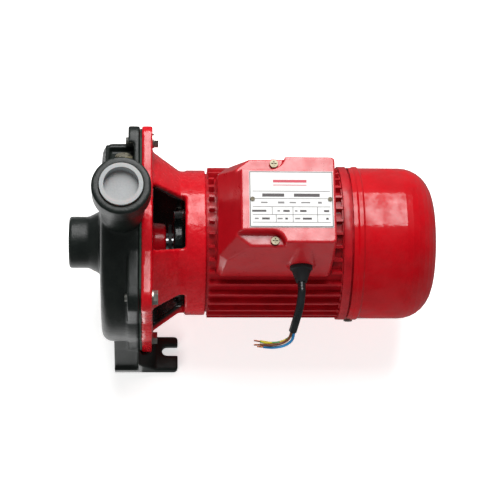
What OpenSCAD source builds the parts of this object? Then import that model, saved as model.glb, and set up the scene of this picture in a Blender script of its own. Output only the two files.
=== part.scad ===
// Close-coupled centrifugal water pump with a 1 hp, single-phase motor.
// The shaft runs along X. The origin is the middle of the suction port's face,
// +X runs from the suction port to the fan, and +Z is up.

/* [Pump casing] */
// Height of the shaft above the surface that the feet stand on
axis_h = 92; // [90:1:96]
// Radius of the round casing body
body_r = 82; // [80:0.5:84]
// Radius of the suction hub
suction_hub_r = 21.5; // [21:0.1:23]
// Tapping radius of both 1 inch ports
port_r = 15.15; // [14.8:0.05:15.3]
// Depth of the tapping in both ports
port_depth = 18; // [14:1:20]
// Height of the discharge port's face above the shaft
discharge_z = 146; // [143:1:150]
// Distance of the discharge port behind the suction face
discharge_x = 45; // [44:0.5:46]
// Radius of the circle that the four casing bolts stand on
bolt_circle_r = 92.5; // [91:0.5:94]

/* [Feet] */
// Distance from the pump's middle to each foot's slot
foot_y = 72.5; // [71:0.5:74]
// Width of each foot's open slot
slot_w = 8.5; // [8:0.5:10]
// Thickness of the foot's tab
foot_t = 10; // [8:1:12]

/* [Motor] */
// Radius over the cooling fins
fin_r = 62.5; // [61:0.5:63]
// Radius at the bottom of the grooves between the fins
root_r = 57.5; // [57:0.5:58]
// Radius of the housing's bore, which holds the stator
stator_r = 54; // [53.5:0.5:54.5]
// Angle between two fins, in degrees
fin_pitch = 10; // [8:1:12]
// Radius of the fan cover
cover_r = 63; // [62.5:0.1:63.5]
// Distance of the fan cover's end behind the suction face
cover_end = 302; // [300:1:305]

/* [Terminal box] */
// Height of the box's lid above the shaft
lid_z = 114; // [111:1:116]
// Half the width of the lid
lid_half_w = 35; // [34:0.5:36]
// Width of the nameplate along the shaft
plate_l = 65; // [60:0.5:65]
// Height of the nameplate across the shaft
plate_w = 45.5; // [44:0.5:47]

/* [Hidden] */

casing_black = "#20221f";
paint_red = "#c81423";
dark_red = "#8d1620";
zinc = "#b9b8b0";
steel = "#8f9296";
brass = "#c2a45a";
rubber_black = "#17191a";

// Stations along the shaft
body_x = [26, 49];
casing_flange_x = [49, 58.5];
bracket_flange_x = [60, 68.5];
spigot_x = 54;
cavity_x = 31;
ring_x = [95, 112];
housing_x = [112, 225];
shield_x = [225, 230];
fin_end = 221.5;
fan_cover_x = 230.3;
cover_screw_station = 233.5;
foot_x = [36.5, 91];
slot_x = 81.5;

// Radii that several sub-parts share
flange_r = 83;
flange_half = 77.4;
flange_corner_r = 12;
spigot_r = 73;
discharge_hub_r = 22.8;
ring_r = 60.3;
bolt_r = 3;
shaft_r = 8;
tie_bolt_circle_r = 51;
slack = 0.2;
front_ball_circle_r = 14.25;
rear_ball_circle_r = 12.5;
front_ball_r = 3.3;
rear_ball_r = 2.9;

// Terminal box
pad_z = 60;
pad_half_w = 37.9;
gasket_t = 1.5;
rim_z = 44;
box_x = [119.5, 211.5];
box_half_w = 42.3;
waist_z = 76;
plate_x = 175.5;
rivet_x = 30;
recess_z = 105.5;
cover_screw_x = 163;
cover_screw_y = 31.5;
grommet_x = 186;
grommet_z = 70;
grommet_tip_y = -54;
capacitor_z = 84;
capacitor_r = 17;

// Priming plug, on a flat pad turned towards +Y; the pad reaches further to one side of it
priming_angle = 37;
priming_offset = -4;
priming_x = 45.5;
priming_seat_r = 81;

// The supply cable and its three cores, which run from the grommet's tip
cable_d = 6.4;
core_d = 2.2;
cable_route = [[186, -54, 70], [186, -58, 70], [186, -62.5, 70], [184.5, -73, 65.6], [182, -82, 58], [180, -88.5, 50]];
brown_route = [[179, -89.3, 49.2], [177, -93.5, 44], [171.5, -96.5, 42], [163.5, -98, 43], [154, -98.5, 45]];
blue_route = [[181, -89.5, 48.6], [179.5, -94.5, 43], [173.5, -98, 40], [165, -99.5, 40], [157, -99, 40]];
green_route = [[180.5, -88, 47.6], [178, -91.5, 40.5], [171.5, -94.5, 38.5], [164, -95.5, 38.5], [154.5, -94.5, 40]];

// ---- shapes that several sub-parts share ----

// A solid cylinder along the shaft
module rod_x(x0, x1, r, fn = 96) {
    translate([x0, 0, 0]) rotate([0, 90, 0]) cylinder(h = x1 - x0, r = r, $fn = fn);
}

// A ring along the shaft
module ring_x(x0, x1, r_out, r_in) {
    difference() {
        rod_x(x0, x1, r_out);
        rod_x(x0 - 1, x1 + 1, r_in);
    }
}

// A shape turned around the shaft, from [distance along the shaft, radius] points
module turned(profile) {
    rotate([0, 90, 0]) rotate_extrude($fn = 96) polygon([for (p = profile) [p[1], p[0]]]);
}

// A plate across the shaft, from an outline drawn in Y and Z
module plate_x(x0, x1) {
    translate([x0, 0, 0]) rotate([90, 0, 90]) linear_extrude(x1 - x0) children();
}

// Children turned about the shaft, with 0 degrees at the top and 90 at +Y
module at_angle(a) {
    rotate([-a, 0, 0]) children();
}

// Children on the four corners of the casing's flange
module at_corners(r) {
    for (a = [45:90:315]) at_angle(a) translate([0, 0, r]) children();
}

// Points on a quarter round, from angle a0 to a1
function arc(cx, cr, r, a0, a1, n = 5) =
    [for (i = [0:n]) let (a = a0 + (a1 - a0) * i / n) [cx + r * cos(a), cr + r * sin(a)]];

// A square with round corners
module soft_square(w, h, r) {
    translate([-w / 2 + r, -h / 2]) square([w - 2 * r, h]);
    translate([-w / 2, -h / 2 + r]) square([w, h - 2 * r]);
    for (sx = [-1, 1], sy = [-1, 1]) translate([sx * (w / 2 - r), sy * (h / 2 - r)]) circle(r = r, $fn = 48);
}

// The flange outline: a disc with four bolt ears
module flange_outline(corner_r) {
    circle(r = flange_r, $fn = 128);
    soft_square(2 * flange_half, 2 * flange_half, corner_r);
}

// A tube swept along a route, with flat ends square to it
function unit(v) = v / norm(v);
function tangent(p, i) = unit(p[min(i + 1, len(p) - 1)] - p[max(i - 1, 0)]);
function ring_at(c, t, r, n) =
    let (u = unit(cross(t, abs(t[2]) < 0.9 ? [0, 0, 1] : [1, 0, 0])), v = cross(t, u))
    [for (k = [0:n - 1]) c + r * (cos(360 * k / n) * u + sin(360 * k / n) * v)];
module tube(path, r, n = 8) {
    rows = len(path);
    pts = [for (i = [0:rows - 1]) each ring_at(path[i], tangent(path, i), r, n)];
    sides = [for (i = [0:rows - 2], k = [0:n - 1])
        [i * n + k, i * n + (k + 1) % n, (i + 1) * n + (k + 1) % n, (i + 1) * n + k]];
    ends = [[for (k = [n - 1:-1:0]) k], [for (k = [0:n - 1]) (rows - 1) * n + k]];
    polyhedron(points = pts, faces = concat([for (f = sides) [f[3], f[2], f[1], f[0]]],
        [for (f = ends) [for (k = [n - 1:-1:0]) f[k]]]));
}

// A smooth route through the given points
function mid(a, b, c, d, t) = 0.5 * ((2 * b) + (c - a) * t + (2 * a - 5 * b + 4 * c - d) * t * t
    + (3 * b - a - 3 * c + d) * t * t * t);
function smooth(p, n = 4) = concat([for (i = [0:len(p) - 2], k = [0:n - 1])
    mid(p[max(i - 1, 0)], p[i], p[i + 1], p[min(i + 2, len(p) - 1)], k / n)], [p[len(p) - 1]]);

// A hexagon-headed bolt along X, whose head lies on the +X side of its seat
module bolt_x(tip, seat, r, flats, head_t) {
    rod_x(tip, seat + 0.5, r, 48);
    translate([seat, 0, 0]) rotate([0, 90, 0]) cylinder(h = head_t, d = flats / cos(30), $fn = 6);
}

// A ball bearing's outer ring, inner ring, balls and cage, centred on x = 0
module bearing_outer(w, r_out, ball_circle, ball_r) {
    difference() {
        rod_x(-w / 2, w / 2, r_out);
        rod_x(-w, w, ball_circle + ball_r * 0.62);
        rotate([0, 90, 0]) rotate_extrude($fn = 96) translate([ball_circle, 0]) circle(r = ball_r + 0.05, $fn = 48);
    }
}
module bearing_inner(w, r_in, ball_circle, ball_r) {
    difference() {
        rod_x(-w / 2, w / 2, ball_circle - ball_r * 0.62);
        rod_x(-w, w, r_in);
        rotate([0, 90, 0]) rotate_extrude($fn = 96) translate([ball_circle, 0]) circle(r = ball_r + 0.05, $fn = 48);
    }
}
module bearing_balls(ball_circle, ball_r, count) {
    for (i = [0:count - 1]) at_angle(i * 360 / count) translate([0, 0, ball_circle]) sphere(r = ball_r, $fn = 48);
}
module bearing_cage(ball_circle, ball_r, count) {
    difference() {
        ring_x(-ball_r * 0.75, ball_r * 0.75, ball_circle + 0.9, ball_circle - 0.9);
        for (i = [0:count - 1]) at_angle(i * 360 / count) rod_z(ball_circle - 3, ball_circle + 3, ball_r + 0.1);
    }
}
module rod_z(z0, z1, r, fn = 48) {
    translate([0, 0, z0]) cylinder(h = z1 - z0, r = r, $fn = fn);
}

// ---- pump end ----

module foot(side) {
    y0 = side * (foot_y + 2.5);
    y_slot = side * foot_y;
    difference() {
        union() {
            // tab with round outer corners
            translate([0, y0, -axis_h]) linear_extrude(foot_t) {
                translate([foot_x[0], -15]) square([foot_x[1] - foot_x[0] - 3, 30]);
                translate([foot_x[0], -12]) square([foot_x[1] - foot_x[0], 24]);
                for (s = [-1, 1]) translate([foot_x[1] - 3, s * 12]) circle(r = 3, $fn = 32);
            }
            // leg, and the web that stiffens the tab
            plate_x(foot_x[0], casing_flange_x[1]) polygon([for (p = [[60, -axis_h], [90, -axis_h],
                [77.2, -61], [68, -34], [58, -46]]) [side * p[0], p[1]]]);
            translate([0, y0 + 15, -axis_h]) rotate([90, 0, 0]) linear_extrude(30)
                polygon([[57, foot_t - 1], [72, foot_t - 1], [72, foot_t], [57, foot_t + 22]]);
        }
        translate([slot_x, y_slot, -axis_h - 1]) cylinder(h = foot_t + 2, d = slot_w, $fn = 48);
        translate([slot_x, y_slot - slot_w / 2, -axis_h - 1]) cube([20, slot_w, foot_t + 2]);
        // room for the bracket's flange and for the bolt tips' heads
        plate_x(casing_flange_x[1], casing_flange_x[1] + 12) circle(r = flange_r + 1.5, $fn = 128);
        plate_x(casing_flange_x[1], casing_flange_x[1] + 16)
            soft_square(2 * flange_half + 3, 2 * flange_half + 3, flange_corner_r + 1.5);
    }
}

module priming_place() {
    translate([priming_x, 0, 0]) at_angle(priming_angle) translate([0, priming_offset, 0]) children();
}

module volute_casing() {
    color(casing_black) difference() {
        union() {
            // hub, flare and body with a round front edge
            turned(concat([[0, 0], [0, suction_hub_r - 1.2], [1.2, suction_hub_r], [16, suction_hub_r],
                [body_x[0] - 0.5, 26.3], [body_x[0] + 1.5, body_r - 9]],
                arc(body_x[0] + 10, body_r - 8.5, 8.5, 175, 90, 5), [[body_x[1] + 1, body_r], [body_x[1] + 1, 0]]));
            plate_x(casing_flange_x[0], casing_flange_x[1]) flange_outline(flange_corner_r);
            // discharge neck and collar
            intersection() {
                translate([discharge_x, 0, 55]) cylinder(h = 73, r1 = 16, r2 = 19.5, $fn = 96);
                union() {
                    translate([0, -30, 50]) cube([casing_flange_x[1], 60, 100]);
                    translate([0, -30, flange_r + 2]) cube([90, 60, 60]);
                }
            }
            translate([discharge_x, 0, 121]) cylinder(h = 6, r1 = 19.2, r2 = discharge_hub_r, $fn = 96);
            translate([discharge_x, 0, 127]) cylinder(h = discharge_z - 127, r = discharge_hub_r, $fn = 96);
            // shoulder that carries the priming plug
            intersection() {
                priming_place() translate([30.5 - priming_x, -14, 55]) cube([28, 34, 31.5]);
                rod_x(20, casing_flange_x[1], 95);
            }
            // drain boss
            translate([0, 0, -60]) rod_x(24, 34, 9, 48);
            for (s = [-1, 1]) foot(s);
        }
        // volute: a round chamber and the wider scroll beside it
        rod_x(cavity_x, spigot_x + 1, 67);
        translate([0, 4, 3]) rod_x(cavity_x + 2, spigot_x - 3, 68.5);
        rod_x(spigot_x - 0.5, casing_flange_x[1] + 1, spigot_r + slack);
        // suction port, inlet and the impeller eye's seat
        rod_x(-1, port_depth, port_r);
        rod_x(port_depth - 1, cavity_x + 1, 13);
        rod_x(27, cavity_x + 1, 19);
        // discharge passage and port
        translate([42.5, 0, 50]) cylinder(h = 56, r = 9.5, $fn = 64);
        translate([discharge_x, 0, 100]) cylinder(h = 31, r = 13, $fn = 64);
        translate([discharge_x, 0, discharge_z - port_depth]) cylinder(h = port_depth + 1, r = port_r, $fn = 96);
        translate([discharge_x, 0, discharge_z - 1.5]) cylinder(h = 1.6, r1 = port_r, r2 = 16.7, $fn = 96);
        // pocket and tapping of the priming plug
        priming_place() translate([34.2 - priming_x, -10.5, priming_seat_r]) cube([19.5, 26.5, 6.5]);
        intersection() {
            priming_place() translate([34.2 - priming_x, -10.5, priming_seat_r]) cube([19.5, 26.5, 20]);
            translate([30, 0, 0]) cube([30, 60, 120]);
        }
        priming_place() rod_z(55, priming_seat_r + 1, 4.1);
        // tapping of the drain plug
        translate([0, 0, -60]) rod_x(20, 36, 4.1, 48);
        at_corners(bolt_circle_r) rod_x(40, 60, bolt_r + slack, 48);
    }
}

module casing_gasket() {
    color("#3b3a36") difference() {
        plate_x(casing_flange_x[1], bracket_flange_x[0]) intersection() {
            flange_outline(flange_corner_r);
            circle(r = 99, $fn = 128);
        }
        rod_x(casing_flange_x[1] - 1, bracket_flange_x[0] + 1, spigot_r + slack);
        at_corners(bolt_circle_r) rod_x(50, 65, bolt_r + slack, 48);
    }
}

// One window of the bracket, as a wedge from the shaft outwards
module window(angle, half_angle) {
    at_angle(angle) plate_x(bracket_flange_x[1] + 0.5, ring_x[0])
        polygon([[0, 0], [110 * tan(-half_angle), 110], [110 * tan(half_angle), 110]]);
}

module motor_bracket() {
    color(paint_red) difference() {
        union() {
            plate_x(bracket_flange_x[0], bracket_flange_x[1]) flange_outline(flange_corner_r);
            rod_x(spigot_x, bracket_flange_x[0] + 1, spigot_r);
            turned([[66, 17], [80, 15.6], [80, 11], [66, 11]]);
            // four arms, left by the windows in a cone
            difference() {
                turned([[68, 78], [69.5, 76], [91, ring_r], [ring_x[0] + 1, ring_r], [ring_x[0] + 1, 53.5],
                    [89, 53.5], [68, 69.5]]);
                for (a = [0, 180]) window(a, 22);
                for (a = [90, 270]) window(a, 28);
            }
            // ring at the motor, its wall and the bearing's hub
            ring_x(ring_x[0], ring_x[1], ring_r, stator_r - 1);
            ring_x(ring_x[1] - 1, 116, stator_r - 0.05, 48.5);
            ring_x(95, 101, 58, 20);
            ring_x(86, 104, 26, 12);
        }
        // room for the mechanical seal, and the seat's cup behind it
        rod_x(spigot_x - 1, 59, 17);
        rod_x(58, 66, 14.5);
        rod_x(65, 81, 9.6);
        rod_x(85, 105, 10.8);
        rod_x(90, 105, 20);
        at_corners(bolt_circle_r) rod_x(55, 70, bolt_r + slack, 48);
        at_corners(tie_bolt_circle_r) {
            rod_x(87, 95, 5.2, 48);
            rod_x(94, 117, 2.7, 48);
        }
    }
}

module casing_bolts() {
    color(zinc) at_corners(bolt_circle_r) bolt_x(47, bracket_flange_x[1] + 1.2, bolt_r, 10, 3.5);
}
module casing_bolt_washers() {
    color(steel) at_corners(bolt_circle_r) ring_x(bracket_flange_x[1], bracket_flange_x[1] + 1.2, 6, bolt_r + 0.15);
}

module priming_plug() {
    color(brass) priming_place() {
        rod_z(priming_seat_r - 9, priming_seat_r + 1.5, 4);
        difference() {
            rod_z(priming_seat_r + 1, priming_seat_r + 6, 7);
            translate([-8, -0.8, priming_seat_r + 4.6]) cube([16, 1.6, 2]);
        }
    }
}
module priming_plug_washer() {
    color("#9a5b32") priming_place() difference() {
        rod_z(priming_seat_r, priming_seat_r + 1, 7);
        rod_z(priming_seat_r - 1, priming_seat_r + 2, 4.1);
    }
}
module drain_plug() {
    color(brass) translate([0, 0, -60]) {
        rod_x(23, 34, 4, 48);
        translate([18, 0, 0]) rotate([0, 90, 0]) cylinder(h = 5, d = 13 / cos(30), $fn = 6);
    }
}
module drain_plug_washer() {
    color("#9a5b32") translate([0, 0, -60]) ring_x(23, 24, 7, 4.1);
}

// Push-in cap that keeps dirt out of the port until the pipe is fitted
module discharge_plug() {
    color("#d9d7d4") translate([discharge_x, 0, discharge_z]) difference() {
        union() {
            rod_z(-11, 0.1, port_r - 0.35, 96);
            rod_z(0.02, 2.6, 16.6, 96);
        }
        rod_z(-6, 3, 13.4, 96);
    }
}

// ---- rotating parts of the pump ----

blades = 6;
// One backward-curved blade, between two arcs
module blade_outline() {
    intersection() {
        difference() {
            translate([0, 34]) circle(r = 36, $fn = 96);
            translate([0, 34]) circle(r = 33.4, $fn = 96);
        }
        translate([0, -2]) square([80, 80]);
        circle(r = 61.3, $fn = 96);
        difference() {
            circle(r = 62, $fn = 96);
            circle(r = 17, $fn = 96);
        }
    }
}
module impeller() {
    color(brass) difference() {
        union() {
            ring_x(44, 46.5, 61.5, 11);
            ring_x(34, 36.5, 61.5, 15);
            ring_x(28, 35, 18.6, 15);
            rod_x(33, 47.5, 12);
            plate_x(36, 44.5) for (i = [0:blades - 1]) rotate([0, 0, i * 360 / blades]) blade_outline();
        }
        rod_x(30, 50, 6);
        // keyway
        translate([32, -2, 0]) cube([20, 4, 8.2]);
    }
}
module impeller_key() {
    color(steel) translate([34.5, -2, 3.5]) cube([12, 4, 4.6]);
}
module impeller_nut() {
    color(brass) difference() {
        union() {
            translate([25, 0, 0]) rotate([0, 90, 0]) cylinder(h = 8, d = 17 / cos(30), $fn = 6);
            turned([[21, 0], [21, 3], [22.5, 6], [25.5, 7.8], [25.5, 0]]);
        }
        rod_x(24, 40, 5);
    }
}

// Mechanical seal: a fixed ceramic seat, and a carbon face pressed on it by a spring
module seal_seat() {
    color("#e8e4dc") ring_x(59, 65, 12, 9);
}
module seal_seat_cup() {
    color(rubber_black) difference() {
        rod_x(60, 66, 14.5);
        rod_x(59, 65, 12);
        rod_x(59, 67, 9.8);
    }
}
module seal_head() {
    color("#2c2c2e") ring_x(56, 58.95, 12, 8.4);
}
module seal_bellows() {
    color(rubber_black) difference() {
        turned([[47.5, 0], [47.5, 11], [49, 11], [50, 9.6], [54.5, 9.6], [55, 11.4], [56, 11.4], [56, 0]]);
        rod_x(45, 58, shaft_r);
    }
}
module seal_spring() {
    turns = 3.5;
    steps = 56;
    color(steel) tube([for (i = [0:steps]) let (a = 360 * turns * i / steps)
        [49.6 + 5 * i / steps, 12.8 * sin(a), 12.8 * cos(a)]], 0.6);
}
module slinger_ring() {
    color(rubber_black) ring_x(82, 84.5, 15, shaft_r);
}

module shaft() {
    color(steel) difference() {
        union() {
            rod_x(24.5, 34, 5);
            rod_x(33, 47.5, 6);
            rod_x(47.5, 91, shaft_r);
            rod_x(91, 103, 8.5);
            rod_x(103, 114, 10);
            rod_x(114, 207, 11);
            rod_x(207, 216.5, 9.5);
            rod_x(216.5, 229, 7.5);
            rod_x(229, 272, 7);
        }
        translate([34.5, -2, 3.5]) cube([12, 4, 8]);
        ring_x(268.2, 269.4, 9, 6.3);
    }
}

// ---- motor ----

module front_bearing() {
    translate([97, 0, 0]) children();
}
module rear_bearing() {
    translate([222.5, 0, 0]) children();
}
module front_bearing_outer_ring() {
    color(steel) front_bearing() bearing_outer(12, 20, front_ball_circle_r, front_ball_r);
}
module front_bearing_inner_ring() {
    color(steel) front_bearing() bearing_inner(12, 8.5, front_ball_circle_r, front_ball_r);
}
module front_bearing_balls() {
    color("#d5d7da") front_bearing() bearing_balls(front_ball_circle_r, front_ball_r, 8);
}
module front_bearing_cage() {
    color(brass) front_bearing() bearing_cage(front_ball_circle_r, front_ball_r, 8);
}
module rear_bearing_outer_ring() {
    color(steel) rear_bearing() bearing_outer(11, 17.5, rear_ball_circle_r, rear_ball_r);
}
module rear_bearing_inner_ring() {
    color(steel) rear_bearing() bearing_inner(11, 7.5, rear_ball_circle_r, rear_ball_r);
}
module rear_bearing_balls() {
    color("#d5d7da") rear_bearing() bearing_balls(rear_ball_circle_r, rear_ball_r, 8);
}
module rear_bearing_cage() {
    color(brass) rear_bearing() bearing_cage(rear_ball_circle_r, rear_ball_r, 8);
}

module fin(x0, x1) {
    plate_x(x0, x1) polygon([[-1.7, root_r - 1], [-1, fin_r], [1, fin_r], [1.7, root_r - 1]]);
}
module motor_housing() {
    color(dark_red) difference() {
        union() {
            rod_x(housing_x[0], housing_x[1], root_r, 128);
            rod_x(221, housing_x[1], 60.9);
            // fins all round, and only their ends beside the terminal box
            for (a = [5 * fin_pitch:fin_pitch:360 - 5 * fin_pitch]) at_angle(a) fin(114, fin_end);
            for (a = [-4 * fin_pitch:fin_pitch:4 * fin_pitch]) at_angle(a) {
                fin(114, box_x[0] - 1);
                fin(box_x[1] + 1, fin_end);
            }
            // pad under the terminal box
            translate([box_x[0] + 3.4, -pad_half_w, 30]) cube([85.6, 2 * pad_half_w, pad_z - 30]);
        }
        rod_x(housing_x[0] - 1, housing_x[1] + 1, stator_r);
        // way through for the windings' leads, and the tappings in the pad
        translate([202, 0, 40]) cylinder(h = recess_z - pad_z - 2, r = 5, $fn = 48);
        for (s = [-1, 1]) translate([cover_screw_x, s * cover_screw_y, 44.8]) cylinder(h = 20, r = 2, $fn = 32);
        for (x = [143, 179]) translate([x, -20, pad_z - 5]) cylinder(h = 9, r = 1.5, $fn = 32);
    }
}

module stator_core() {
    color("#6d7075") difference() {
        rod_x(130, 200, stator_r - 0.02);
        rod_x(129, 201, 27);
        at_corners(tie_bolt_circle_r) translate([0, 0, 1]) rod_x(129, 201, 4, 48);
        for (i = [0:23]) at_angle(i * 15) translate([129, -1.8, 30]) cube([72, 3.6, 13]);
    }
}
module stator_windings() {
    color("#a8521f") {
        for (i = [0:23]) at_angle(i * 15) translate([122, -1.7, 30.5]) cube([86, 3.4, 12]);
        for (x = [[117, 129.5], [200.5, 213]])
            turned([[x[0], 33], [x[0] + 3, 30], [x[1], 30], [x[1], 44], [x[0] + 3, 47], [x[0], 44]]);
    }
}
module thermal_protector() {
    color("#2b2b2b") translate([121, -5, 47.2]) cube([7, 10, 3.5]);
}
module stator_leads() {
    color("#3c3c3c") for (s = [-1, 1])
        tube(smooth([[205, s * 1.7, 47.2], [203, s * 1.7, 52], [202, s * 1.7, 60], [196, s * 3 - 10, 67],
            [184, s * 5 - 18, 75.5], [168, s * 5 - 20, 73.4]]), 1.1);
}

module rotor_core() {
    color("#7b7e83") ring_x(130, 200, 26.7, 11);
}
module rotor_end_rings() {
    color("#b4b7ba") {
        ring_x(123, 130, 26, 15);
        ring_x(200, 207, 26, 15);
        for (i = [0:9]) at_angle(i * 36) {
            translate([119, -0.9, 16]) cube([5, 1.8, 8]);
            translate([206, -0.9, 16]) cube([5, 1.8, 8]);
        }
    }
}

module rear_end_shield() {
    color(paint_red) difference() {
        union() {
            rod_x(shield_x[0], shield_x[1], 60.9, 128);
            // thick rim round the end of the housing, and the seat of the fan cover
            rod_x(shield_x[0], shield_x[1] - 1.5, cover_r + 1, 128);
            ring_x(fin_end + 0.5, shield_x[0] + 1, cover_r + 1, 61.1);
            ring_x(shield_x[1] - 1, 238, 60.9, 57.5);
            ring_x(221.5, shield_x[0] + 1, stator_r - 0.05, 50);
            rod_x(216.5, 232, 22.5);
        }
        rod_x(216, 230, 17.5);
        rod_x(215, 236, 10.5);
        at_corners(tie_bolt_circle_r) rod_x(215, 240, 2.7, 48);
        // ends of the fan cover's screws
        for (a = [115, 180, 245]) at_angle(a) translate([cover_screw_station, 0, 0]) rod_z(56, 65, 1.6);
    }
}
module wave_washer() {
    color(zinc) ring_x(228.2, 229.9, 17, 13);
}

module tie_bolts() {
    color(zinc) at_corners(tie_bolt_circle_r) bolt_x(88, shield_x[1], 2.5, 8, 3.5);
}
module tie_bolt_nuts() {
    color(zinc) at_corners(tie_bolt_circle_r) difference() {
        translate([91, 0, 0]) rotate([0, 90, 0]) cylinder(h = 4, d = 8 / cos(30), $fn = 6);
        rod_x(90, 96, 2.5, 48);
    }
}

module cooling_fan() {
    color("#1f2022") difference() {
        union() {
            rod_x(246, 266, 12);
            ring_x(246, 248.5, 48, 11);
            for (i = [0:7]) at_angle(i * 45) translate([248, -1, 11]) cube([16, 2, 36]);
        }
        rod_x(245, 268, 7);
    }
}
module fan_clip() {
    color(steel) difference() {
        rod_x(268.2, 269.4, 9.5);
        rod_x(268, 270, 6.3);
        translate([268, -2.5, 0]) cube([2, 5, 12]);
    }
}

// A deep-drawn cover with two beads at its mouth and a domed end
module fan_cover() {
    wall = 1.6;
    dome = 27;
    color(paint_red) difference() {
        turned(concat([[fan_cover_x, 0], [fan_cover_x, cover_r + 0.2], [233.5, cover_r + 0.2],
            [235, cover_r + 1.1], [238, cover_r + 1.1], [239.5, cover_r]],
            arc(cover_end - dome - 1.5, cover_r - dome, dome, 90, 3, 8), [[cover_end - 0.4, 20], [cover_end, 0]]));
        turned(concat([[fan_cover_x - 1, 0], [fan_cover_x - 1, cover_r - wall]],
            arc(cover_end - dome - 1.5, cover_r - dome, dome - wall, 90, 3, 8), [[cover_end - 2, 20], [cover_end - wall, 0]]));
        // air slots in rings on the domed end
        for (i = [0:23]) at_angle(i * 15) translate([280, -1.6, 21]) cube([30, 3.2, 13]);
        for (i = [0:11]) at_angle(i * 30) translate([280, -1.6, 9]) cube([30, 3.2, 8]);
        for (a = [115, 180, 245]) at_angle(a) translate([cover_screw_station, 0, 0]) rod_z(57, 66, 2.2);
    }
}
module fan_cover_screws() {
    color(zinc) for (a = [115, 180, 245]) at_angle(a) translate([cover_screw_station, 0, 0]) {
        rod_z(58.5, cover_r + 1.2, 1.55);
        difference() {
            rod_z(cover_r + 1.1, cover_r + 3.2, 3.6);
            translate([-2.5, -0.4, cover_r + 2.2]) cube([5, 0.8, 2]);
            translate([-0.4, -2.5, cover_r + 2.2]) cube([0.8, 5, 2]);
        }
    }
}

// ---- terminal box ----

// The box's outline at one height: from x0 to x1 and half as wide as given, with both corners cut at x0
module box_outline(x0, x1, half_w, cut) {
    polygon([[x0 + cut, -half_w], [x1 - 2, -half_w], [x1, -half_w + 2], [x1, half_w - 2], [x1 - 2, half_w],
        [x0 + cut, half_w], [x0, half_w - cut * 0.75], [x0, -half_w + cut * 0.75]]);
}
// The box's solid between its rim and its lid, less the given wall
module box_solid(wall) {
    hull() {
        translate([0, 0, rim_z]) linear_extrude(1)
            box_outline(box_x[0] + wall, box_x[1] - wall, box_half_w - wall, 4);
        translate([0, 0, waist_z]) linear_extrude(1)
            box_outline(box_x[0] + 1 + wall, box_x[1] - wall, 38.6 - wall, 7);
    }
    hull() {
        translate([0, 0, waist_z]) linear_extrude(1)
            box_outline(box_x[0] + 1 + wall, box_x[1] - wall, 38.6 - wall, 7);
        translate([0, 0, lid_z - 1 - wall]) linear_extrude(1)
            box_outline(137 + wall, 210 - wall, lid_half_w - wall, 13);
    }
}

module terminal_box_gasket() {
    color(rubber_black) translate([0, 0, pad_z]) difference() {
        translate([124.5, -37.6, 0]) cube([82, 75.2, gasket_t]);
        translate([128, -33.5, -1]) cube([75, 67, 4]);
        for (s = [-1, 1]) translate([cover_screw_x, s * cover_screw_y, -1]) cylinder(h = 4, r = 5.4, $fn = 32);
    }
}

// The leaf-shaped recess of a cover screw, which opens through the box's side wall
module screw_recess(side, z0, h, wall) {
    translate([-3, side * 4.5, z0]) linear_extrude(h) {
        circle(r = 11 + wall, $fn = 96);
        translate([-40, -11 - wall]) square([40, 22 + 2 * wall]);
    }
}

module terminal_box_cover() {
    color(paint_red) difference() {
        union() {
            difference() {
                box_solid(0);
                // cavity above the gasket
                intersection() {
                    box_solid(3);
                    translate([128, -60, pad_z]) cube([75, 120, 60]);
                }
            }
            // posts of the two cover screws, and the floors of their recesses
            for (s = [-1, 1]) translate([cover_screw_x, s * cover_screw_y, pad_z + gasket_t])
                cylinder(h = recess_z - pad_z - 2, r = 5, $fn = 48);
            intersection() {
                box_solid(0);
                for (s = [-1, 1]) translate([cover_screw_x, s * cover_screw_y, 0]) screw_recess(s, recess_z - 2.5, 11, 2.5);
            }
            // boss around the cable's grommet
            hull() {
                translate([grommet_x, -34.5, grommet_z]) rotate([90, 0, 0]) cylinder(h = 6.5, r = 10.5, $fn = 48);
                translate([grommet_x - 4, -35, lid_z - 6]) cube([8, 1, 2]);
            }
        }
        // room for the pad, and for the housing's round wall beside it
        translate([122.6, -pad_half_w - slack, 30])
            cube([86.8, 2 * (pad_half_w + slack), pad_z + gasket_t - 30]);
        rod_x(100, 230, root_r + 0.3, 128);
        // recesses and holes of the cover screws
        for (s = [-1, 1]) translate([cover_screw_x, s * cover_screw_y, 0]) {
            screw_recess(s, recess_z, 20, 0);
            cylinder(h = 120, r = 2.2, $fn = 32);
        }
        translate([grommet_x, -25, grommet_z]) rotate([90, 0, 0]) cylinder(h = 25, r = 6.1, $fn = 48);
        for (s = [-1, 1]) translate([plate_x + s * rivet_x, 0, lid_z - 4]) cylinder(h = 5, r = 1, $fn = 32);
    }
}

module terminal_block() {
    color("#e4ded0") difference() {
        translate([139, -26, pad_z]) cube([44, 12, 12]);
        translate([138, -27, pad_z + 9]) cube([46, 3.5, 4]);
        for (x = [143, 179]) translate([x, -20, pad_z - 1]) cylinder(h = 14, r = 1.7, $fn = 32);
        for (i = [0:5]) translate([149 + i * 4.8, -20, pad_z + 6]) cylinder(h = 8, r = 1.6, $fn = 32);
    }
}
module terminal_screws() {
    color(brass) {
        for (i = [0:5]) translate([149 + i * 4.8, -20, pad_z + 6]) cylinder(h = 5, r = 1.5, $fn = 32);
        for (x = [143, 179]) translate([x, -20, pad_z - 4]) {
            cylinder(h = 17, r = 1.45, $fn = 32);
            translate([0, 0, 16]) cylinder(h = 2, r = 2.8, $fn = 32);
        }
    }
}
module capacitor() {
    color("#d8d8d4") translate([140, 6, capacitor_z]) {
        rod_x(0, 56, capacitor_r);
        rod_x(55, 58, capacitor_r - 4);
        for (s = [-1, 1]) translate([57, s * 5 - 0.4, -3]) cube([5, 0.8, 6]);
    }
}
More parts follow.
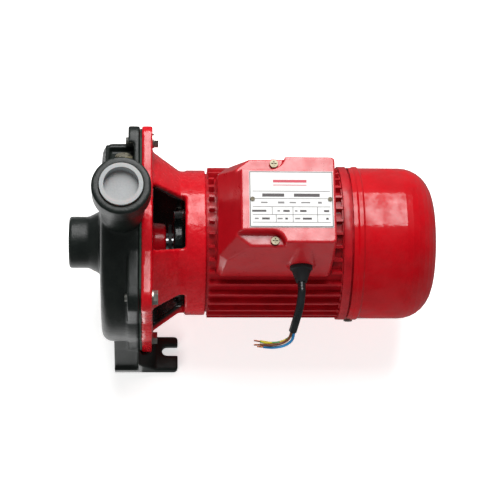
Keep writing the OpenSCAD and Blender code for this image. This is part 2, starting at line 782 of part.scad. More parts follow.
module capacitor_clip() {
    color(zinc) difference() {
        union() {
            translate([162, 6, capacitor_z]) ring_x(0, 10, capacitor_r + 1, capacitor_r);
            translate([162, 19, pad_z]) cube([10, capacitor_r - 12, 1]);
            translate([162, 6 + capacitor_r, pad_z]) cube([10, 1, capacitor_z - pad_z]);
        }
        translate([161, 10, capacitor_z + 11]) cube([12, 20, 12]);
    }
}
module cover_screws() {
    color(zinc) for (s = [-1, 1]) translate([cover_screw_x, s * cover_screw_y, 0]) {
        rod_z(46, recess_z + 0.5, 1.9);
        difference() {
            rod_z(recess_z, recess_z + 2.4, 3.2);
            translate([-2.1, -0.4, recess_z + 1.2]) cube([4.2, 0.8, 2]);
            translate([-0.4, -2.1, recess_z + 1.2]) cube([0.8, 4.2, 2]);
        }
    }
}
module nameplate() {
    color("#eeeeec") difference() {
        translate([plate_x - plate_l / 2, -plate_w / 2, lid_z]) cube([plate_l, plate_w, 0.5]);
        for (s = [-1, 1]) translate([plate_x + s * rivet_x, 0, lid_z - 1]) cylinder(h = 3, r = 1, $fn = 32);
    }
}
module nameplate_rivets() {
    color(steel) for (s = [-1, 1]) translate([plate_x + s * rivet_x, 0, lid_z]) {
        rod_z(-3.8, 0.6, 0.95);
        rod_z(0.5, 1.3, 1.7);
    }
}

// ---- supply cable ----

module cable_grommet() {
    color(rubber_black) translate([grommet_x, 0, grommet_z]) rotate([90, 0, 0])
        rotate_extrude($fn = 64) polygon([[0, 32], [7.2, 32], [7.2, 33.8], [6, 34.4], [6, 41.1], [9, 41.1],
            [9, 43.5], [7.6, 44.6], [4.3, 54], [4, -grommet_tip_y], [0, -grommet_tip_y]]);
}
module mains_cable() {
    color(rubber_black) tube(smooth(cable_route), cable_d / 2, 10);
}
module core_brown() {
    color("#7b4a2a") tube(smooth(brown_route), core_d / 2);
}
module core_blue() {
    color("#2b86c8") tube(smooth(blue_route), core_d / 2);
}
module core_green_yellow() {
    color("#5ea33a") tube(smooth(green_route), core_d / 2);
}
// Bare copper at the end of each core
module core_tips() {
    color("#b87333") for (r = [brown_route, blue_route, green_route])
        let (n = len(r) - 1, t = unit(r[n] - r[n - 1]))
        tube([r[n], r[n] + 2.5 * t, r[n] + 5 * t], 0.7);
}

volute_casing();
casing_gasket();
motor_bracket();
casing_bolts();
casing_bolt_washers();
priming_plug();
priming_plug_washer();
drain_plug();
drain_plug_washer();
discharge_plug();
impeller();
impeller_key();
impeller_nut();
seal_seat();
seal_seat_cup();
seal_head();
seal_spring();
seal_bellows();
slinger_ring();
shaft();
front_bearing_outer_ring();
front_bearing_inner_ring();
front_bearing_balls();
front_bearing_cage();
motor_housing();
stator_core();
stator_windings();
thermal_protector();
stator_leads();
rotor_core();
rotor_end_rings();
rear_end_shield();
rear_bearing_outer_ring();
rear_bearing_inner_ring();
rear_bearing_balls();
rear_bearing_cage();
wave_washer();
tie_bolts();
tie_bolt_nuts();
cooling_fan();
fan_clip();
fan_cover();
fan_cover_screws();
terminal_box_gasket();
terminal_box_cover();
terminal_block();
terminal_screws();
capacitor();
capacitor_clip();
cover_screws();
nameplate();
nameplate_rivets();
cable_grommet();
mains_cable();
core_brown();
core_blue();
core_green_yellow();
core_tips();
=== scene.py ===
"""Close-coupled centrifugal water pump with its motor, terminal box and supply cable.

Metres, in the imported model's frame: the shaft runs along X from the suction
port to the fan, +Z is up, and the terminal box's cable leaves towards -Y.
"""

import math

import bmesh
import bpy
from mathutils import Matrix, Vector


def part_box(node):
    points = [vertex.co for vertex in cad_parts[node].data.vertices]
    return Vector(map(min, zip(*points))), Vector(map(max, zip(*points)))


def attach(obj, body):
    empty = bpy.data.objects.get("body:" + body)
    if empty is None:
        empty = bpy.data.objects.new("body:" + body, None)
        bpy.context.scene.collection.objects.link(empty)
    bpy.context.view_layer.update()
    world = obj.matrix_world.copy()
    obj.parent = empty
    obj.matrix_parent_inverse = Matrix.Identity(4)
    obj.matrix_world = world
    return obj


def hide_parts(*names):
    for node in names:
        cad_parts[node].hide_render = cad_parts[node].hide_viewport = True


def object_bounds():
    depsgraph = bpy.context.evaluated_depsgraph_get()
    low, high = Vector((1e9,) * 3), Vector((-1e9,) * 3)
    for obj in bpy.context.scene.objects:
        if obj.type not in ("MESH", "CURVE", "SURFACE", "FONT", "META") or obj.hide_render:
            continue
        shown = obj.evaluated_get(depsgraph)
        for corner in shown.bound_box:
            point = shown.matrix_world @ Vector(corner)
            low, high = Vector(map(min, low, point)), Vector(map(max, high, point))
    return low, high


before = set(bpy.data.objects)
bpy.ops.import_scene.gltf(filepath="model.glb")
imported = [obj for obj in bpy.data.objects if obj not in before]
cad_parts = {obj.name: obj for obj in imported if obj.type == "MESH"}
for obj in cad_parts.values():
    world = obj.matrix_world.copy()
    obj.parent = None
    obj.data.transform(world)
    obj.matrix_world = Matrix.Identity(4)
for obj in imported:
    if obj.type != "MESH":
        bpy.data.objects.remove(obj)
cad_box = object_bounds()
mm = 0.001

# ---------------------------------------------------------------- camera
# Seen from well above the near side, with the shaft nearly level across the
# picture: a long lens 1.4 m from the motor.


def stand(name, data):
    """A new object in the scene, made of the given data."""
    made = bpy.data.objects.new(name, data)
    bpy.context.scene.collection.objects.link(made)
    return made


heading, elevation, tilt = (math.radians(a) for a in (-11.43, 72.69, -11.13))
aim = Vector((150.0, -6.19, 0.0)) * mm
distance = 1.4
level = Vector((math.cos(heading), math.sin(heading), 0.0))
flat = math.cos(elevation)
toward = Vector((math.sin(heading) * flat, -math.cos(heading) * flat, math.sin(elevation)))
upward = toward.cross(level)
right = level * math.cos(tilt) - upward * math.sin(tilt)
top = level * math.sin(tilt) + upward * math.cos(tilt)
lens = bpy.data.cameras.new("camera")
lens.lens = 120.8
lens.sensor_width = 36.0
lens.clip_start, lens.clip_end = 0.05, 20.0
camera = stand("camera", lens)
turned = Matrix((right, top, toward)).transposed().to_4x4()
camera.matrix_world = Matrix.Translation(aim + toward * distance) @ turned
bpy.context.scene.camera = camera
bpy.context.scene.view_settings.view_transform = "Standard"


# ---------------------------------------------------------------- supply cable
# A short three-core mains lead, stripped for wiring: a black PVC sheath, then
# three PVC-insulated cores with a few millimetres of bare stranded copper.
# The sheath is extruded and matt, and droops a little from its own stiffness.


def linear(code):
    """The linear colour of an sRGB hex code."""
    parts = [int(code[i : i + 2], 16) / 255 for i in (1, 3, 5)]
    return tuple(p / 12.92 if p <= 0.04045 else ((p + 0.055) / 1.055) ** 2.4 for p in parts) + (1.0,)


def add(material, kind, settings=(), links=()):
    """Adds a shader node.

    Settings go to its properties, sockets or ramp stops. Links join its sockets to others.
    """
    new = material.node_tree.nodes.new("ShaderNode" + kind)
    for key, value in dict(settings).items():
        if key == "stops":
            for stop, (at, code) in zip(new.color_ramp.elements, value):
                stop.position, stop.color = at, linear(code)
        elif isinstance(key, str) and hasattr(new, key):
            setattr(new, key, value)
        else:
            new.inputs[key].default_value = value
    for key, value in dict(links).items():
        material.node_tree.links.new(value, new.inputs[key])
    return new


def start(name, colour, roughness, **sockets):
    """A new material with its Principled shader, whose constant sockets are set here."""
    material = bpy.data.materials.new(name)
    material.use_nodes = True
    shader = material.node_tree.nodes["Principled BSDF"]
    shader.inputs["Base Color"].default_value = linear(colour)
    shader.inputs["Roughness"].default_value = roughness
    for key, value in sockets.items():
        shader.inputs[key.replace("_", " ")].default_value = value
    return material, shader


def mottle(material, shader, size, colours, rough, height):
    """Cloudy colour, roughness and relief: the grain is size mm across and height mm deep."""
    link = material.node_tree.links.new
    coords = add(material, "TexCoord").outputs["Object"]
    cloud_size = size * 9
    clouds = add(
        material, "TexNoise", {"Scale": 1 / (cloud_size * mm), "Detail": 3.0}, {"Vector": coords}
    )
    grain = add(
        material,
        "TexNoise",
        {"Scale": 1 / (size * mm), "Detail": 4.0, "Roughness": 0.55},
        {"Vector": coords},
    )
    # The two are added, with a little more of the clouds than of the grain.
    grain_share, cloud_share = 0.45, 0.55
    blend = add(
        material, "Math", {"operation": "MULTIPLY_ADD", 1: grain_share}, {0: grain.outputs["Fac"]}
    )
    part = add(
        material, "Math", {"operation": "MULTIPLY", 1: cloud_share}, {0: clouds.outputs["Fac"]}
    )
    link(part.outputs[0], blend.inputs[2])
    stops = [(0.32, colours[0]), (0.68, colours[1])]
    tint = add(material, "ValToRGB", {"stops": stops}, {"Fac": blend.outputs[0]})
    link(tint.outputs["Color"], shader.inputs["Base Color"])
    span = {"From Min": 0.3, "From Max": 0.7, "To Min": rough[0], "To Max": rough[1]}
    gloss = add(material, "MapRange", span, {"Value": blend.outputs[0]})
    link(gloss.outputs["Result"], shader.inputs["Roughness"])
    relief = {"Strength": 1.0, "Distance": height * mm}
    bump = add(material, "Bump", relief, {"Height": grain.outputs["Fac"]})
    link(bump.outputs["Normal"], shader.inputs["Normal"])
    return bump


def flowing(points, steps=6):
    """The smooth centreline through points given in mm, with steps to a span, in metres."""
    line = []
    last = len(points) - 1
    for i in range(last):
        a, b, c, d = (Vector(points[k]) * mm for k in (max(i - 1, 0), i, i + 1, min(i + 2, last)))
        for k in range(steps):
            t = k / steps
            bend = (2 * a - 5 * b + 4 * c - d) * t * t
            line.append(0.5 * (2 * b + (c - a) * t + bend + (3 * b - a - 3 * c + d) * t**3))
    return line + [Vector(points[last]) * mm]


def wire(name, lines, diameter, material, sides=6):
    """One curve object of round wire along each of the lines."""
    curve = bpy.data.curves.new(name, "CURVE")
    curve.dimensions = "3D"
    curve.bevel_depth = diameter / 2 * mm
    curve.bevel_resolution = sides
    curve.use_fill_caps = True
    for line in lines:
        spline = curve.splines.new("POLY")
        spline.points.add(len(line) - 1)
        for point, at in zip(spline.points, line):
            point.co = (*at, 1.0)
        spline.use_smooth = True
    curve.materials.append(material)
    made = stand(name, curve)
    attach(made, "pump_body")
    return made


# Extruded black PVC: matt, with a faint mottle of dust on it.
sheath_pvc, shader = start("black_pvc_sheath", "#16191b", 0.5, IOR=1.53)
mottle(sheath_pvc, shader, 0.9, ("#0e1213", "#1c2224"), (0.24, 0.36), 0.03)
# It leaves the grommet straight, and only then bends down.
cable_route = [
    [186, -54, 70], [186, -58, 70], [186, -62.5, 70],
    [184.5, -73, 65.6], [182, -82, 58], [180, -88.5, 50],
]
cable_d = 6.4
cable_line = flowing(cable_route)
cable = wire("mains_cable_sheath", [cable_line], cable_d, sheath_pvc, 8)
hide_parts("mains_cable")

# Core insulation is mottled PVC, a little less glossy than the sheath.
core_d = 2.2
routes = {
    "brown": [
        [179, -89.3, 49.2], [177, -93.5, 44], [171.5, -96.5, 42],
        [163.5, -98, 43], [154, -98.5, 45],
    ],
    "blue": [
        [181, -89.5, 48.6], [179.5, -94.5, 43], [173.5, -98, 40],
        [165, -99.5, 40], [157, -99, 40],
    ],
    "green_yellow": [
        [180.5, -88, 47.6], [178, -91.5, 40.5], [171.5, -94.5, 38.5],
        [164, -95.5, 38.5], [154.5, -94.5, 40],
    ],
}
hues = {
    "brown": ("#5f341c", "#7d4a2c"),
    "blue": ("#1673b0", "#3a9ad2"),
    "green_yellow": ("#2f8f3c", "#46a94c"),
}
for name, route in routes.items():
    pvc, shader = start("pvc_insulation_" + name, hues[name][0], 0.35, IOR=1.53)
    mottle(pvc, shader, 0.7, hues[name], (0.26, 0.42), 0.02)
    if name == "green_yellow":
        # The earth core's yellow stripe winds round the green, about 7 mm to a turn.
        coords = add(pvc, "TexCoord").outputs["Object"]
        winding_stripe = {"bands_direction": "DIAGONAL", "Scale": 45.0, "Distortion": 0.0}
        stripe = add(pvc, "TexWave", winding_stripe, {"Vector": coords})
        stops = [(0.46, "#000000"), (0.54, "#ffffff")]
        stripe_edge = add(pvc, "ValToRGB", {"stops": stops}, {"Fac": stripe.outputs["Fac"]})
        green = shader.inputs["Base Color"].links[0].from_socket
        yellow = {"data_type": "RGBA", 7: linear("#d8c92c")}
        mix = add(pvc, "Mix", yellow, {0: stripe_edge.outputs["Color"], 6: green})
        pvc.node_tree.links.new(mix.outputs[2], shader.inputs["Base Color"])
    wire("core_" + name + "_insulation", [flowing(route)], core_d, pvc)
    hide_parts("core_" + name)

# Fine bare copper strands, seven to a core, with a slight twist.
copper, shader = start("bare_copper_strand", "#c4754a", 0.3, Metallic=1.0)
mottle(copper, shader, 0.5, ("#a85c36", "#d98d60"), (0.22, 0.4), 0.01)
strand_d = 0.42
ring_r = 0.44  # six strands lie round a middle one
bare_step = 0.98  # mm from one point of a strand to the next
for name, route in routes.items():
    strands = []
    end = Vector(route[-1])
    run = (end - Vector(route[-2])).normalized()
    side = run.orthogonal().normalized()
    over = run.cross(side)
    for k in range(7):
        out = 0.0 if k == 6 else ring_r
        strand = []
        for s in range(6):
            a = math.radians(60 * k + 14 * s)
            off_middle = (side * math.cos(a) + over * math.sin(a)) * out
            strand.append((end + run * s * bare_step + off_middle) * mm)
        strands.append(strand)
    wire("core_" + name + "_strands", strands, strand_d, copper, 2)
    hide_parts("core_tips")


# ---------------------------------------------------------------- pump casing
# The volute, its suction and discharge ports and both feet are one casting in
# grey iron, dipped in black-green machine enamel. Sand casting leaves a fine
# pitted skin and soft edges; the port faces and the base are machined.


def dress(material, *names):
    """Gives CAD nodes their finish."""
    for name in names:
        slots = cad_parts[name].data.materials
        slots.clear()
        slots.append(material)


weld_gap = 0.01  # mm, well under the smallest real gap


def soften(width, *names):
    """Rounds the sharp edges of CAD nodes by width mm, as a mould or a wire brush does."""
    for name in names:
        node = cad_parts[name]
        weld = node.modifiers.new("joined", "WELD")
        weld.merge_threshold = weld_gap * mm
        round_off = node.modifiers.new("rounded", "BEVEL")
        round_off.width = width * mm
        round_off.segments = 2
        round_off.limit_method = "ANGLE"
        round_off.angle_limit = math.radians(30.0)
        round_off.harden_normals = True
        round_off.use_clamp_overlap = True


def cast_skin(voxel, passes, *names):
    """Gives CAD nodes a casting's skin: every edge and inner corner runs round.

    More passes round them further. A voxel is the finest detail that is kept, in mm.
    """
    for name in names:
        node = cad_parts[name]
        node.modifiers.new("joined", "WELD").merge_threshold = weld_gap * mm
        cast = node.modifiers.new("cast", "REMESH")
        cast.mode, cast.voxel_size, cast.use_smooth_shade = "VOXEL", voxel * mm, True
        worn = node.modifiers.new("worn", "SMOOTH")
        worn.factor, worn.iterations = 0.5, passes


# Enamelled grey iron: a satin film over sand grain 1.3 mm across.
enamelled_iron, shader = start(
    "black_enamelled_cast_iron", "#141a18", 0.42, IOR=1.5, Specular_IOR_Level=0.3
)
mottle(enamelled_iron, shader, 1.3, ("#0b1110", "#1b201d"), (0.3, 0.46), 0.16)
dress(enamelled_iron, "volute_casing")
cast_skin(1.15, 5, "volute_casing")

# Cut from a sheet of dark green fibre.
fibre, shader = start("green_gasket_fibre", "#26332c", 0.85, IOR=1.45)
mottle(fibre, shader, 0.4, ("#1d2823", "#33443a"), (0.78, 0.92), 0.04)
dress(fibre, "casing_gasket", "terminal_box_gasket")

# Turned brass plugs, with copper sealing washers under them. The drain plug is
# bare brass, and the priming plug on top is nickel-plated.
brass, shader = start("turned_brass", "#b5924c", 0.3, Metallic=1.0)
mottle(brass, shader, 0.6, ("#9c7a3a", "#c9a860"), (0.24, 0.4), 0.02)
dress(brass, "drain_plug")
nickel, shader = start("nickel_plated_brass", "#c9c3ac", 0.25, Metallic=1.0)
mottle(nickel, shader, 0.6, ("#b7b098", "#ddd8c6"), (0.2, 0.34), 0.02)
dress(nickel, "priming_plug")
soften(0.4, "priming_plug", "drain_plug")
dress(copper, "priming_plug_washer", "drain_plug_washer")

# A moulded polyethylene plug keeps the discharge port clean until it is piped.
polythene, shader = start(
    "white_polythene", "#868787", 0.38, IOR=1.51, Subsurface_Weight=0.15
)
mottle(polythene, shader, 1.2, ("#7c7c7d", "#909192"), (0.3, 0.45), 0.03)
dress(polythene, "discharge_plug")
soften(0.6, "discharge_plug")


# ---------------------------------------------------------------- impeller and seal
# A closed brass impeller, keyed to the shaft and held by a nut, and a
# mechanical seal: a carbon ring that a spring presses on a ceramic seat.
dress(brass, "impeller")
soften(0.3, "impeller")

stainless, shader = start("ground_stainless_steel", "#9a9c9e", 0.25, Metallic=1.0)
mottle(stainless, shader, 0.5, ("#8b8d90", "#aeb0b2"), (0.18, 0.32), 0.01)
dress(
    stainless,
    "impeller_key", "impeller_nut", "seal_spring", "seal_seat_cup",
    "shaft", "fan_clip", "wave_washer",
)

carbon, shader = start("seal_carbon", "#26272a", 0.3, IOR=1.6)
mottle(carbon, shader, 0.3, ("#1d1e20", "#303236"), (0.24, 0.36), 0.01)
dress(carbon, "seal_head")

ceramic, shader = start("lapped_alumina", "#e6e1d6", 0.18, IOR=1.76)
mottle(ceramic, shader, 0.5, ("#ddd7ca", "#efebe2"), (0.12, 0.24), 0.005)
dress(ceramic, "seal_seat")

# Moulded nitrile rubber, with a dull bloom.
nitrile, shader = start("moulded_nitrile_rubber", "#15181a", 0.6, IOR=1.52)
mottle(nitrile, shader, 0.8, ("#0e1112", "#202527"), (0.5, 0.7), 0.05)
dress(nitrile, "seal_bellows", "slinger_ring")


# ---------------------------------------------------------------- motor bracket
# The bracket joins the casing to the motor and carries the front bearing. It is
# cast iron with four windows, sprayed in thick, glossy red enamel that hides the
# sand grain.


def red_enamel(name, base, deep, grain, height, rough, coat, shine=0.3):
    """A red gloss finish over a surface whose grain is that many mm across and height mm deep.

    The film has its own orange peel and dried uneven. Coat is how glossy it is on the
    whole, and shine is how much light the colour under it throws back.
    """
    material, gloss = start(
        name, base, rough[0], IOR=1.52,
        Coat_Weight=coat, Coat_Roughness=0.08, Coat_IOR=1.5, Specular_IOR_Level=shine,
    )
    mottle(material, gloss, grain, (deep, base), rough, height)
    coords = add(material, "TexCoord").outputs["Object"]
    peel_size, peel_depth = 4, 0.09
    peel_noise = {"Scale": 1 / (peel_size * mm), "Detail": 1.0}
    peel = add(material, "TexNoise", peel_noise, {"Vector": coords})
    relief = {"Strength": 1.0, "Distance": peel_depth * mm}
    skin = add(material, "Bump", relief, {"Height": peel.outputs["Fac"]})
    material.node_tree.links.new(skin.outputs["Normal"], gloss.inputs["Coat Normal"])
    # The shine comes and goes over a centimetre or two, from a quarter of the coat
    # where the film is thin to a fifth more than the coat where it is thick.
    drip_size = 14
    drip_noise = {"Scale": 1 / (drip_size * mm), "Detail": 3.0, "Roughness": 0.6}
    drips = add(material, "TexNoise", drip_noise, {"Vector": coords})
    span = {"From Min": 0.38, "From Max": 0.62, "To Min": coat * 0.25, "To Max": coat * 1.2}
    film = add(material, "MapRange", span, {"Value": drips.outputs["Fac"]})
    material.node_tree.links.new(film.outputs["Result"], gloss.inputs["Coat Weight"])
    return material


enamel_on_iron = red_enamel(
    "red_enamel_on_cast_iron", "#c60d1c", "#ac0a16", 3.5, 0.45, (0.2, 0.34), 0.7, 0.15
)
dress(enamel_on_iron, "motor_bracket")
# Within the arms the enamel is coloured near-black as painted shade, for the shade that falls inside
# the bracket. That inside is a cone behind the flange, and the seal hub in its middle is left red.
cone_slope = 0.74
cone_outside, cone_inside = 125.5, 122.5
flange_back = (68.3, 68.9)
hub_r = (17.5, 19)


def shade_mask_node(kind, settings, links):
    """One node of the painted shade's mask."""
    return add(enamel_on_iron, kind, settings, links)


coords = add(enamel_on_iron, "TexCoord").outputs["Object"]
axes = shade_mask_node("SeparateXYZ", (), {0: coords})
across = shade_mask_node("CombineXYZ", (), {1: axes.outputs["Y"], 2: axes.outputs["Z"]})
reach = shade_mask_node("VectorMath", {"operation": "LENGTH"}, {0: across.outputs[0]})
cone = shade_mask_node(
    "Math",
    {"operation": "MULTIPLY_ADD", 1: cone_slope},
    {0: axes.outputs["X"], 2: reach.outputs["Value"]},
)
inward = shade_mask_node(
    "MapRange",
    {"From Min": cone_outside * mm, "From Max": cone_inside * mm},
    {"Value": cone.outputs[0]},
)
behind = shade_mask_node(
    "MapRange",
    {"From Min": flange_back[0] * mm, "From Max": flange_back[1] * mm},
    {"Value": axes.outputs["X"]},
)
hub = shade_mask_node(
    "MapRange",
    {"From Min": hub_r[0] * mm, "From Max": hub_r[1] * mm},
    {"Value": reach.outputs["Value"]},
)
within = shade_mask_node("Math", {"operation": "MULTIPLY"}, {0: inward.outputs[0], 1: behind.outputs[0]})
painted_shade_mask = shade_mask_node("Math", {"operation": "MULTIPLY"}, {0: within.outputs[0], 1: hub.outputs[0]})
bracket_shader = enamel_on_iron.node_tree.nodes["Principled BSDF"]
sprayed = bracket_shader.inputs["Base Color"].links[0].from_socket
# Painted shade: near-black over the inside of the bracket, mixed into the red enamel.
painted_shade = {"data_type": "RGBA", 7: linear("#0d1514")}
shaded_colour = shade_mask_node("Mix", painted_shade, {0: painted_shade_mask.outputs[0], 6: sprayed})
enamel_on_iron.node_tree.links.new(shaded_colour.outputs[2], bracket_shader.inputs["Base Color"])
cast_skin(1.2, 4, "motor_bracket")

# Bright zinc on cold-headed steel: a pale bluish metal, duller in patches.
zinc, shader = start("bright_zinc_plate", "#b3b4ae", 0.32, Metallic=1.0)
mottle(zinc, shader, 0.7, ("#85867f", "#bcbdb6"), (0.28, 0.46), 0.03)
dress(zinc, "casing_bolts", "casing_bolt_washers")
soften(0.5, "casing_bolts")


# ---------------------------------------------------------------- rotor and bearings
# The shaft carries the rotor core, two ball bearings, the impeller and the fan.
bearing_steel, shader = start("polished_bearing_steel", "#a9abad", 0.12, Metallic=1.0)
mottle(bearing_steel, shader, 0.5, ("#9c9ea0", "#b8babc"), (0.08, 0.16), 0.003)
dress(
    bearing_steel,
    "front_bearing_outer_ring", "front_bearing_inner_ring", "front_bearing_balls",
    "rear_bearing_outer_ring", "rear_bearing_inner_ring", "rear_bearing_balls",
)
cage_steel, shader = start("pressed_cage_steel", "#8d8a80", 0.35, Metallic=1.0)
mottle(cage_steel, shader, 0.5, ("#7c796f", "#9f9c92"), (0.28, 0.42), 0.01)
dress(cage_steel, "front_bearing_cage", "rear_bearing_cage")

# Electrical steel sheets, stacked and drawn as lines across the stack.
lamination, shader = start("stacked_electrical_steel", "#5a5c5f", 0.45, Metallic=1.0)
bump = mottle(lamination, shader, 0.6, ("#47494c", "#6d6f72"), (0.36, 0.55), 0.01)
coords = add(lamination, "TexCoord").outputs["Object"]
line_pitch, line_depth = 1.0, 0.05
lines = {"bands_direction": "X", "Scale": 2 * math.pi / (line_pitch * mm) / 20}
sheets = add(lamination, "TexWave", lines, {"Vector": coords})
stack = add(
    lamination,
    "Bump",
    {"Strength": 0.8, "Distance": line_depth * mm},
    {"Height": sheets.outputs["Fac"], "Normal": bump.outputs["Normal"]},
)
lamination.node_tree.links.new(stack.outputs["Normal"], shader.inputs["Normal"])
dress(lamination, "rotor_core", "stator_core")

die_cast, shader = start("die_cast_aluminium", "#a5a7a8", 0.4, Metallic=1.0)
mottle(die_cast, shader, 0.8, ("#909294", "#b9bbbc"), (0.34, 0.5), 0.03)
dress(die_cast, "rotor_end_rings")


# ---------------------------------------------------------------- stator
# Enamelled copper windings, varnished in, with a thermal cut-out tied to them
# and four leads up to the terminal block.
winding, shader = start(
    "varnished_winding_wire", "#9c4f24", 0.28, IOR=1.55, Coat_Weight=0.6
)
mottle(winding, shader, 0.9, ("#7f3a17", "#b6662f"), (0.22, 0.38), 0.25)
dress(winding, "stator_windings")

bakelite, shader = start("moulded_bakelite", "#1b1715", 0.3, IOR=1.6)
mottle(bakelite, shader, 0.6, ("#13100f", "#27211e"), (0.24, 0.38), 0.02)
dress(bakelite, "thermal_protector", "terminal_block")

silicone, shader = start("silicone_lead_sleeve", "#a33c30", 0.5, IOR=1.43)
mottle(silicone, shader, 0.7, ("#8e3027", "#b54a3c"), (0.42, 0.56), 0.02)
dress(silicone, "stator_leads")


# ---------------------------------------------------------------- motor housing
# A finned aluminium tube, die cast and sprayed red, closed at the back by a
# cast end shield. Four long tie bolts pull the shield and the bracket together.
enamel_on_alloy = red_enamel(
    "red_enamel_on_aluminium", "#b40d1b", "#8e0a14", 1.1, 0.05, (0.3, 0.42), 0.1
)
dress(enamel_on_alloy, "motor_housing", "rear_end_shield")
soften(0.7, "motor_housing")
soften(0.8, "rear_end_shield")
dress(zinc, "tie_bolts", "tie_bolt_nuts")


# ---------------------------------------------------------------- fan and cover
# A moulded fan on the shaft's end, under a deep-drawn steel cover with rolled
# beads, sprayed red and held by three screws.
fan_plastic, shader = start("moulded_black_polypropylene", "#17191a", 0.42, IOR=1.49)
mottle(fan_plastic, shader, 0.8, ("#101213", "#22262a"), (0.34, 0.5), 0.03)
dress(fan_plastic, "cooling_fan")
soften(0.3, "cooling_fan")

enamel_on_steel = red_enamel(
    "red_enamel_on_drawn_steel", "#b90815", "#a60712", 2.5, 0.008, (0.3, 0.4), 0.75, 0.05
)
dress(enamel_on_steel, "fan_cover")
dress(zinc, "fan_cover_screws")
soften(0.3, "fan_cover_screws")


# ---------------------------------------------------------------- terminal box
# A cover moulded in red ABS stands on a rubber gasket over the housing's pad and
# hides the terminal block and the run capacitor. Two screws hold it down.
moulded_abs = red_enamel(
    "moulded_red_abs", "#b80d1a", "#a60b17", 1.8, 0.02, (0.26, 0.36), 0.5, 0.5
)
dress(moulded_abs, "terminal_box_cover")
cast_skin(0.8, 6, "terminal_box_cover")

dress(zinc, "terminal_screws", "capacitor_clip")

# Yellow-passivated zinc on the two cover screws, dulled by handling.
passivated, shader = start("yellow_passivated_zinc", "#8f8a74", 0.5, Metallic=1.0)
mottle(passivated, shader, 0.5, ("#6a6452", "#a39d88"), (0.42, 0.6), 0.04)
dress(passivated, "cover_screws")
soften(0.3, "cover_screws")

white_pp, shader = start("white_polypropylene", "#dcdcd6", 0.4, IOR=1.49)
mottle(white_pp, shader, 1.0, ("#cfcfc8", "#e6e6e1"), (0.32, 0.46), 0.02)
dress(white_pp, "capacitor")

dress(nitrile, "cable_grommet")


# ---------------------------------------------------------------- nameplate
# A thin anodised aluminium plate, screen-printed, held by two steel rivets. The
# print is a plain frame with ruled rows and blank bars in place of words.
satin_plate, shader = start("white_anodised_aluminium", "#cfcfcd", 0.35, IOR=1.5)
mottle(satin_plate, shader, 1.5, ("#c6c6c4", "#d6d6d4"), (0.28, 0.4), 0.006)
dress(satin_plate, "nameplate")

ink, shader = start("black_screen_ink", "#2b2224", 0.5, IOR=1.5)
mottle(ink, shader, 0.5, ("#231b1d", "#3a3032"), (0.42, 0.56), 0.004)
grey_ink, shader = start("grey_screen_ink", "#6f6c6d", 0.5, IOR=1.5)
mottle(grey_ink, shader, 0.5, ("#636061", "#7c797a"), (0.42, 0.56), 0.004)
red_ink, shader = start("red_screen_ink", "#b3213a", 0.5, IOR=1.5)
mottle(red_ink, shader, 0.5, ("#a31a32", "#c43048"), (0.42, 0.56), 0.004)

low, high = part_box("nameplate")
middle = ((low[0] + high[0]) / 2 / mm, (low[1] + high[1]) / 2 / mm, high[2] / mm)
half_l, half_w = (high[0] - low[0]) / 2 / mm, (high[1] - low[1]) / 2 / mm
print_t = 0.06  # the thickness of the ink


def printed(name, bars, material):
    """Flat bars of ink on the plate.

    Each is its middle along and across the plate, its length and its height, in mm.
    """
    grid = bmesh.new()
    for x, y, length, height in bars:
        where = Matrix.Translation((middle[0] + x, middle[1] + y, middle[2] + print_t / 2))
        shape = Matrix.Diagonal((length, height, print_t, 1))
        bmesh.ops.create_cube(grid, size=1.0, matrix=where @ shape)
    bmesh.ops.scale(grid, vec=(mm, mm, mm), verts=grid.verts)
    mesh = bpy.data.meshes.new(name)
    grid.to_mesh(mesh)
    grid.free()
    mesh.materials.append(material)
    made = stand(name, mesh)
    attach(made, "pump_body")


# In black: the frame, then the bars of three rows.
border = 0.6
black_bars = [(0, s * (half_w - border), 2 * half_l - 1, border) for s in (-1, 1)]
black_bars += [(s * (half_l - border), 0, border, 2 * half_w - 1) for s in (-1, 1)]
black_bars += [(-14, 3.2, 17, 2.6), (12, 3.2, 20, 2.6)]
black_bars += [(x, -9.6, length, 1.6) for x, length in ((-25, 11), (-4, 5), (9, 5), (27, 4))]
black_bars += [(x, -15.8, length, 1.6) for x, length in ((-20, 6), (-4, 2), (12, 7), (27.5, 2))]
printed("nameplate_black_print", black_bars, ink)
# In grey: the rules between rows and columns, then the rows' smaller bars.
rule, cell = 0.5, 6.2
grey_bars = [(0, y, 2 * half_l - 5, rule) for y in (6.4, 0.4, -6.2, -12.6, -18.8)]
grey_bars += [(x, -9.4, rule, cell) for x in (-15, 1, 20)]
grey_bars += [(x, -15.7, rule, cell) for x in (-12, 1, 20)]
grey_bars += [(x, -2.8, length, 1.1) for x, length in ((-21, 5), (1, 5), (11, 7))]
grey_bars += [(x, -2.8, length, 1.6) for x, length in ((-8, 5), (22, 3))]
grey_bars += [(x, -9.6, 2, 1.2) for x in (-10, 3.5)]
grey_bars += [(x, -15.8, length, 1.2) for x, length in ((-27, 3), (-9, 4), (4.5, 4))]
printed("nameplate_grey_print", grey_bars, grey_ink)
printed("nameplate_red_print", [(-1, 14.6, 26, 2.2), (-1, 11.4, 26, 0.6)], red_ink)

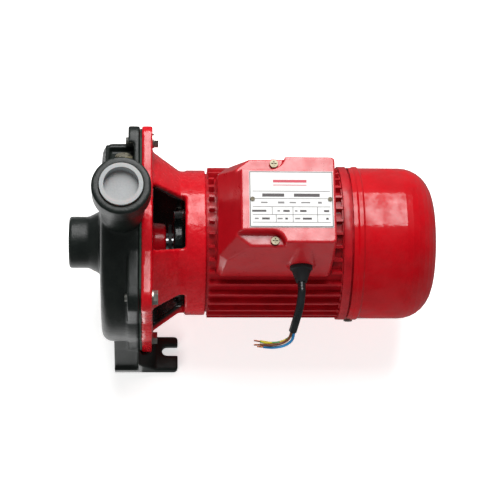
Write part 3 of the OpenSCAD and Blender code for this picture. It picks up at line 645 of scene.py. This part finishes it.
# Blackened steel rivets.
rivet_steel, shader = start("blackened_rivet_steel", "#3c3830", 0.4, Metallic=1.0)
mottle(rivet_steel, shader, 0.5, ("#2b2822", "#5a5548"), (0.32, 0.5), 0.03)
dress(rivet_steel, "nameplate_rivets")


# ---------------------------------------------------------------- floor and light
# A pale floor, lit from within so that only a faint shadow is left, stays out of
# reflections. A broad soft box hangs above and behind the pump. A weak fill in
# front and a small card under the casing lift the black iron. The room is white.
floor_paint, shader = start(
    "lit_white_floor", "#f4f4f2", 0.9,
    Emission_Color=(1.0, 1.0, 1.0, 1.0), Emission_Strength=0.62,
)
sheet = bmesh.new()
bmesh.ops.create_grid(sheet, x_segments=1, y_segments=1, size=3.0)
mesh = bpy.data.meshes.new("floor")
sheet.to_mesh(mesh)
sheet.free()
mesh.materials.append(floor_paint)
floor = stand("floor", mesh)
floor_gap = 0.0002
floor.location = (0.15, 0.0, cad_box[0][2] - floor_gap)
floor.visible_glossy = False

world = bpy.data.worlds.new("white_room")
bpy.context.scene.world = world
world.use_nodes = True
surroundings = world.node_tree.nodes["Background"].inputs
surroundings["Color"].default_value = (1.0, 1.0, 1.0, 1.0)
surroundings["Strength"].default_value = 0.16


def soft_box(name, place, aim_at, width, height, power):
    """A rectangular area light, sized in metres and lit with that many watts."""
    lamp = bpy.data.lights.new(name, "AREA")
    lamp.shape, lamp.size, lamp.size_y, lamp.energy = "RECTANGLE", width, height, power
    made = stand(name, lamp)
    made.location = place
    away = Vector(place) - Vector(aim_at)
    made.rotation_euler = away.to_track_quat("Z", "Y").to_euler()
    return made


soft_box("overhead_soft_box", (0.22, 0.85, 1.15), (0.17, 0.0, 0.05), 0.9, 1.45, 34.0)
front_fill = soft_box("front_fill", (-0.6, -1.2, 0.9), (0.15, 0.0, 0.0), 1.0, 1.0, 9.0)
front_fill.visible_glossy = False
card_at, card_aim = (-0.065, -0.01, -0.091), (-0.065, -0.01, 1.0)
white_card = soft_box("white_card", card_at, card_aim, 0.25, 0.34, 0.38)
white_card.visible_camera = False
